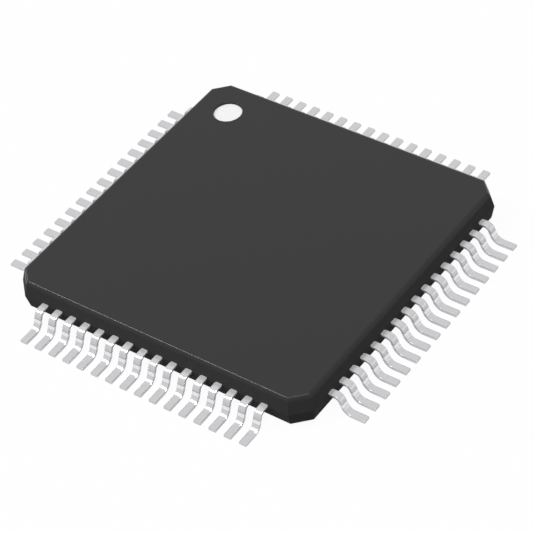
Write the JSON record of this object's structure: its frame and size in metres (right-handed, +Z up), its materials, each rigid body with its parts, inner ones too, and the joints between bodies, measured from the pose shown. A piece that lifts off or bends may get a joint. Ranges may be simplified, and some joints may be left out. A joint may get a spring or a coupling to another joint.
{
  "type": "microcontroller in a thin quad flat package",
  "caption": "Square, thin, dark moulded microcontroller with a row of gull-wing leads on each side and a white index dot in one corner.",
  "frame": {"origin": "under the middle of the body, on the plane that the feet of the leads stand on", "axes": "+Z up, square to the body's top; +X and +Y along the body's sides, with the index dot in the corner at -X +Y"},
  "size_m": [0.0122, 0.0122, 0.001],
  "materials": {
    "moulding_compound": "fine matte",
    "index_ink": "matte",
    "tin_plate": "satin tin plating on copper",
    "lead_frame_copper": "rolled copper",
    "silver_epoxy": "silver filled",
    "silicon": "polished",
    "bond_wire_gold": "drawn gold"
  },
  "bodies": {
    "root": {"moulded_body": "moulding_compound", "index_dot": "index_ink", "die_pad": "lead_frame_copper", "die_attach": "silver_epoxy", "silicon_die": "silicon", "leads_01_02": "tin_plate", "leads_03_04": "tin_plate", "leads_05_06": "tin_plate", "leads_07_08": "tin_plate", "leads_09_10": "tin_plate", "leads_11_12": "tin_plate", "leads_13_14": "tin_plate", "leads_15_16": "tin_plate", "leads_17_18": "tin_plate", "leads_19_20": "tin_plate", "leads_21_22": "tin_plate", "leads_23_24": "tin_plate", "leads_25_26": "tin_plate", "leads_27_28": "tin_plate", "leads_29_30": "tin_plate", "leads_31_32": "tin_plate", "leads_33_34": "tin_plate", "leads_35_36": "tin_plate", "leads_37_38": "tin_plate", "leads_39_40": "tin_plate", "leads_41_42": "tin_plate", "leads_43_44": "tin_plate", "leads_45_46": "tin_plate", "leads_47_48": "tin_plate", "leads_49_50": "tin_plate", "leads_51_52": "tin_plate", "leads_53_54": "tin_plate", "leads_55_56": "tin_plate", "leads_57_58": "tin_plate", "leads_59_60": "tin_plate", "leads_61_62": "tin_plate", "leads_63_64": "tin_plate", "bond_wires_01_04": "bond_wire_gold", "bond_wires_05_08": "bond_wire_gold", "bond_wires_09_12": "bond_wire_gold", "bond_wires_13_16": "bond_wire_gold", "bond_wires_17_20": "bond_wire_gold", "bond_wires_21_24": "bond_wire_gold", "bond_wires_25_28": "bond_wire_gold", "bond_wires_29_32": "bond_wire_gold", "bond_wires_33_36": "bond_wire_gold", "bond_wires_37_40": "bond_wire_gold", "bond_wires_41_44": "bond_wire_gold", "bond_wires_45_48": "bond_wire_gold", "bond_wires_49_52": "bond_wire_gold", "bond_wires_53_56": "bond_wire_gold", "bond_wires_57_60": "bond_wire_gold", "bond_wires_61_64": "bond_wire_gold"}
  },
  "joints": []
}
